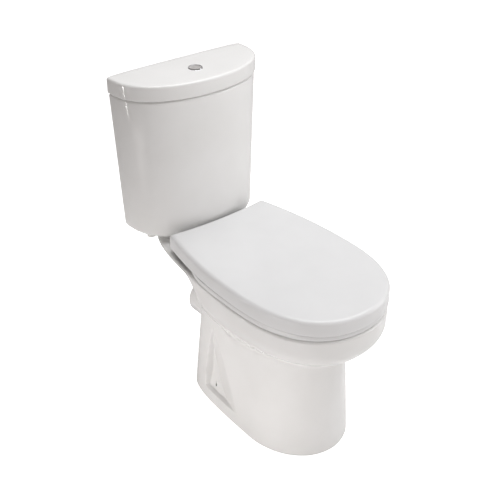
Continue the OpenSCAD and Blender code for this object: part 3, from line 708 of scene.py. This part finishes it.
def material(
    name, colour, tint, rough, spread, scale, bump=0.0, bump_scale=60.0, metal=0.0, ior=None
):
    """Procedural finish: a soft mottled colour, uneven gloss and a fine surface texture."""
    mat = bpy.data.materials.new(name)
    mat.use_nodes = True
    nodes, links = mat.node_tree.nodes, mat.node_tree.links
    shader = nodes["Principled BSDF"]
    coords = nodes.new("ShaderNodeTexCoord")

    noise = nodes.new("ShaderNodeTexNoise")
    noise.inputs["Scale"].default_value = scale
    noise.inputs["Detail"].default_value = 4
    links.new(coords.outputs["Object"], noise.inputs["Vector"])

    ramp = nodes.new("ShaderNodeValToRGB")
    ramp.color_ramp.elements[0].position = 0.3
    ramp.color_ramp.elements[1].position = 0.7
    ramp.color_ramp.elements[0].color = (*tint, 1)
    ramp.color_ramp.elements[1].color = (*colour, 1)
    links.new(noise.outputs["Fac"], ramp.inputs["Fac"])
    links.new(ramp.outputs["Color"], shader.inputs["Base Color"])

    gloss = nodes.new("ShaderNodeMapRange")
    gloss.inputs["To Min"].default_value = rough
    gloss.inputs["To Max"].default_value = rough + spread
    links.new(noise.outputs["Fac"], gloss.inputs["Value"])
    links.new(gloss.outputs["Result"], shader.inputs["Roughness"])

    if bump > 0:
        grain = nodes.new("ShaderNodeTexNoise")
        grain.inputs["Scale"].default_value = bump_scale
        grain.inputs["Detail"].default_value = 3
        relief = nodes.new("ShaderNodeBump")
        relief.inputs["Strength"].default_value = bump
        relief.inputs["Distance"].default_value = 0.001
        links.new(coords.outputs["Object"], grain.inputs["Vector"])
        links.new(grain.outputs["Fac"], relief.inputs["Height"])
        links.new(relief.outputs["Normal"], shader.inputs["Normal"])

    shader.inputs["Metallic"].default_value = metal
    if ior is not None:
        shader.inputs["IOR"].default_value = ior
    return mat


# Each slot's material: its name, main colour and tint, least roughness and how far that spreads,
# how fine the mottling is, how strong and how fine the surface texture is, then 1 for a metal
# and the refractive index where it isn't the usual one
FINISHES = {
    "ceramic": (
        "ceramic_glaze", (0.83, 0.83, 0.825), (0.80, 0.80, 0.79), 0.07, 0.05, 9, 0.012, 30, 0, 1.52
    ),
    "seat_plastic": (
        "seat_gloss", (0.765, 0.77, 0.775), (0.745, 0.75, 0.755), 0.13, 0.05, 14, 0.02, 160, 0, 1.49
    ),
    "hinge_chrome": (
        "hinge_chrome", (0.78, 0.79, 0.80), (0.68, 0.69, 0.70), 0.07, 0.08, 60, 0.02, 300, 1
    ),
    "zinc_steel": (
        "zinc_steel", (0.62, 0.63, 0.62), (0.45, 0.47, 0.46), 0.30, 0.18, 120, 0.15, 500, 1
    ),
    "black_rubber": (
        "black_rubber", (0.030, 0.030, 0.032), (0.018, 0.018, 0.018), 0.62, 0.2, 80, 0.3, 700
    ),
    "buffer_rubber": (
        "buffer_rubber", (0.62, 0.62, 0.60), (0.52, 0.52, 0.50), 0.5, 0.2, 80, 0.2, 600
    ),
    "button_chrome": (
        "button_chrome", (0.72, 0.73, 0.75), (0.60, 0.61, 0.63), 0.06, 0.07, 90, 0.02, 400, 1
    ),
    "button_satin": (
        "button_satin", (0.80, 0.79, 0.78), (0.72, 0.71, 0.70), 0.42, 0.12, 140, 0.08, 900, 1
    ),
    "spring_steel": (
        "spring_steel", (0.50, 0.50, 0.51), (0.36, 0.36, 0.37), 0.22, 0.15, 200, 0.1, 700, 1
    ),
    "white_fitting": (
        "white_fitting", (0.76, 0.76, 0.74), (0.70, 0.70, 0.67), 0.32, 0.14, 50, 0.12, 420
    ),
    "blue_fitting": (
        "blue_fitting", (0.045, 0.17, 0.42), (0.03, 0.12, 0.33), 0.30, 0.14, 50, 0.12, 420
    ),
    "float_plastic": (
        "float_plastic", (0.60, 0.61, 0.60), (0.50, 0.51, 0.50), 0.38, 0.14, 50, 0.15, 420
    ),
}
MATERIALS = {slot: material(*finish) for slot, finish in FINISHES.items()}


def dress(obj, slot):
    """Gives an object its slot's material."""
    obj.data.materials.clear()
    obj.data.materials.append(MATERIALS[slot])


SLOT_OF = {part["node"]: part["material_slot"] for part in frame["record"]["subparts"]}
for name, node in frame["nodes"].items():
    dress(node, SLOT_OF[name])

for make, body, name in (
    (make_pan, "fixture", "pan"),
    (make_tank, "fixture", "cistern_tank"),
    (make_lid, "lid", "cistern_lid"),
    (make_ring, "ring", "seat_ring"),
    (make_cover, "cover", "seat_cover"),
):
    piece = make()
    dress(piece, SLOT_OF[name])
    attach(piece, body)
    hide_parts(name)


# ---- Studio, in metres ------------------------------------------------------------------------

FLOOR_HALF, FLOOR_Z = 6, -0.0005
FLOOR_GLOW = 0.75
WORLD_COLOUR, WORLD_STRENGTH = (1.0, 0.92, 0.885, 1), 0.25
LOW_LIGHT_SPREAD = 70

CAMERA_PLACE = (-1.0845, -1.2864, 1.4781)
CAMERA_AIM = (0.53332, 0.65975, -0.52944)
CAMERA_LENS, CAMERA_SENSOR, CAMERA_SHIFT = 62.2, 36, 0.0026


def aim(obj, place, direction):
    """Puts a light or a camera in its place, looking along a direction."""
    obj.location = place
    obj.rotation_mode = "QUATERNION"
    obj.rotation_quaternion = direction.to_track_quat("-Z", "Y")
    bpy.context.scene.collection.objects.link(obj)


def area_light(name, place, target, width, height, power, colour=(1, 1, 1)):
    """A rectangular light that faces its target."""
    data = bpy.data.lights.new(name, "AREA")
    data.shape = "RECTANGLE"
    data.size, data.size_y = width, height
    data.energy = power
    data.color = colour
    light = bpy.data.objects.new(name, data)
    aim(light, place, Vector(target) - Vector(place))
    return light


def make_floor():
    """A pale floor that also glows, but only as the camera sees it, so it lights nothing."""
    mesh = bpy.data.meshes.new("floor")
    half = FLOOR_HALF
    corners = [(-half, -half), (half, -half), (half, half), (-half, half)]
    mesh.from_pydata([(x, y, FLOOR_Z) for x, y in corners], [], [(0, 1, 2, 3)])
    floor = bpy.data.objects.new("floor", mesh)
    bpy.context.scene.collection.objects.link(floor)
    paint = material("floor_paint", (0.93, 0.93, 0.93), (0.925, 0.925, 0.925), 0.7, 0.1, 2)
    nodes, links = paint.node_tree.nodes, paint.node_tree.links
    shader = nodes["Principled BSDF"]
    shader.inputs["Emission Color"].default_value = (1, 1, 1, 1)
    seen = nodes.new("ShaderNodeLightPath")
    glow = nodes.new("ShaderNodeMath")
    glow.operation = "MULTIPLY"
    glow.inputs[1].default_value = FLOOR_GLOW
    links.new(seen.outputs["Is Camera Ray"], glow.inputs[0])
    links.new(glow.outputs["Value"], shader.inputs["Emission Strength"])
    floor.data.materials.append(paint)


make_floor()
area_light("key_above", (0.5, -0.3, 2.9), (0, 0, 0.3), 2.6, 2.6, 64, (0.98, 0.99, 1.0))
area_light("right_box", (2.4, -1.9, 1.1), (0, 0, 0.3), 1.8, 1.6, 20, (1.0, 1.0, 1.0))
area_light("button_card", (1.39, 1.97, 2.17), (0, 0.25, 0.8), 2.4, 1.6, 3)
low_left = area_light(
    "low_left", (-1.0, -0.05, 0.14), (0, 0.03, 0.1), 1.1, 0.24, 0.9, (1.0, 0.97, 0.955)
)
low_left.data.spread = math.radians(LOW_LIGHT_SPREAD)
area_light(
    "strip_left", (-1.47, 0.74, 0.34), (-0.18, 0.26, 0.7), 0.05, 0.5, 1.2, (1.0, 0.98, 0.96)
)
area_light("front_box", (-0.9, -2.6, 0.9), (0, 0, 0.45), 1.6, 1.4, 8, (1.0, 0.95, 0.93))

world = bpy.data.worlds.new("white_room")
world.use_nodes = True
world.node_tree.nodes["Background"].inputs["Color"].default_value = WORLD_COLOUR
world.node_tree.nodes["Background"].inputs["Strength"].default_value = WORLD_STRENGTH
bpy.context.scene.world = world
bpy.context.scene.view_settings.view_transform = "Standard"

camera_data = bpy.data.cameras.new("camera")
camera_data.sensor_width = CAMERA_SENSOR
camera_data.lens = CAMERA_LENS
camera_data.shift_x = CAMERA_SHIFT
camera = bpy.data.objects.new("camera", camera_data)
aim(camera, CAMERA_PLACE, Vector(CAMERA_AIM))
bpy.context.scene.camera = camera
